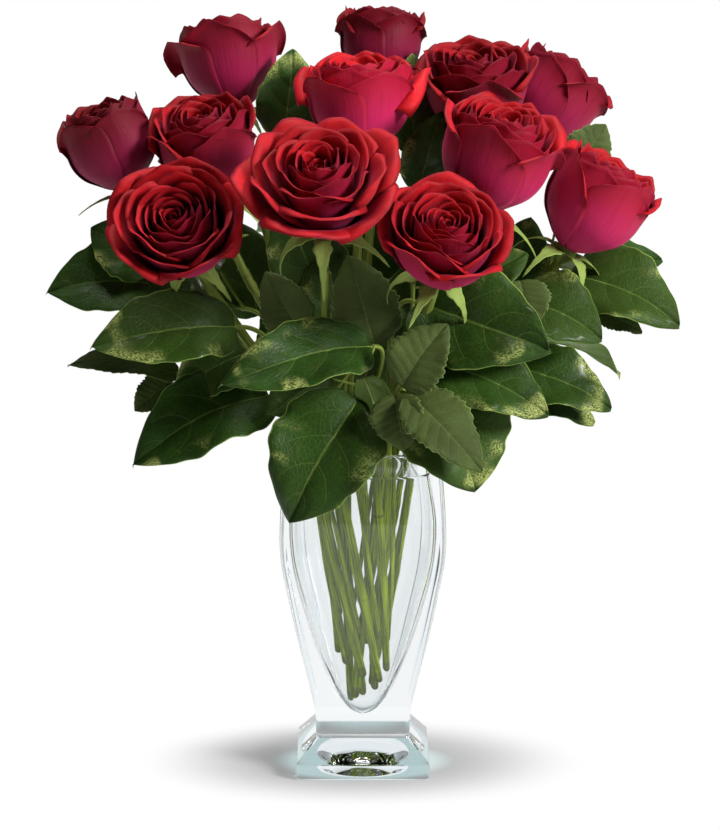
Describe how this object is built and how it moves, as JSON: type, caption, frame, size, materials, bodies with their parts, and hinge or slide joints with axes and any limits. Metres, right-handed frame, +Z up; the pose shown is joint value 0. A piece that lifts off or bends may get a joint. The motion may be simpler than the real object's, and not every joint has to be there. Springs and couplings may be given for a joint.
{
  "type": "roses in a vase",
  "caption": "Free-standing arrangement of long-stemmed red roses and broad glossy greenery in water, in a heavy clear glass vase with a square foot.",
  "frame": {"origin": "centre of the vase foot's underside, under the middle of the whole arrangement", "axes": "+Z up along the vase; -Y is the front, the side that the picture shows; +X is the viewer's right"},
  "size_m": [0.418, 0.2783, 0.5044],
  "materials": {
    "vase_glass": "clear, polished, faint cool tint at the edges",
    "water": "clear, still",
    "petals": "velvety deep red with a magenta sheen on the outsides",
    "rose_green": "matt yellow-green stems and toothed matt leaves",
    "leaf_green": "glossy dark green with paler veins"
  },
  "bodies": {
    "root": {"rose_01_bloom": "petals", "rose_01_stem": "rose_green", "rose_02_bloom": "petals", "rose_02_stem": "rose_green", "rose_03_bloom": "petals", "rose_03_stem": "rose_green", "rose_04_bloom": "petals", "rose_04_stem": "rose_green", "rose_05_bloom": "petals", "rose_05_stem": "rose_green", "rose_06_bloom": "petals", "rose_06_stem": "rose_green", "rose_07_bloom": "petals", "rose_07_stem": "rose_green", "rose_08_bloom": "petals", "rose_08_stem": "rose_green", "rose_09_bloom": "petals", "rose_09_stem": "rose_green", "rose_10_bloom": "petals", "rose_10_stem": "rose_green", "rose_11_bloom": "petals", "rose_11_stem": "rose_green", "rose_12_bloom": "petals", "rose_12_stem": "rose_green", "sprig_back_left": "leaf_green", "sprig_back_right": "leaf_green", "sprig_far_right": "leaf_green", "sprig_front": "leaf_green", "sprig_front_left": "leaf_green", "sprig_front_right": "leaf_green", "sprig_left": "leaf_green", "sprig_right": "leaf_green", "sprig_top_left": "leaf_green", "sprig_top_right": "leaf_green", "vase": "vase_glass", "water": "water"}
  },
  "joints": []
}
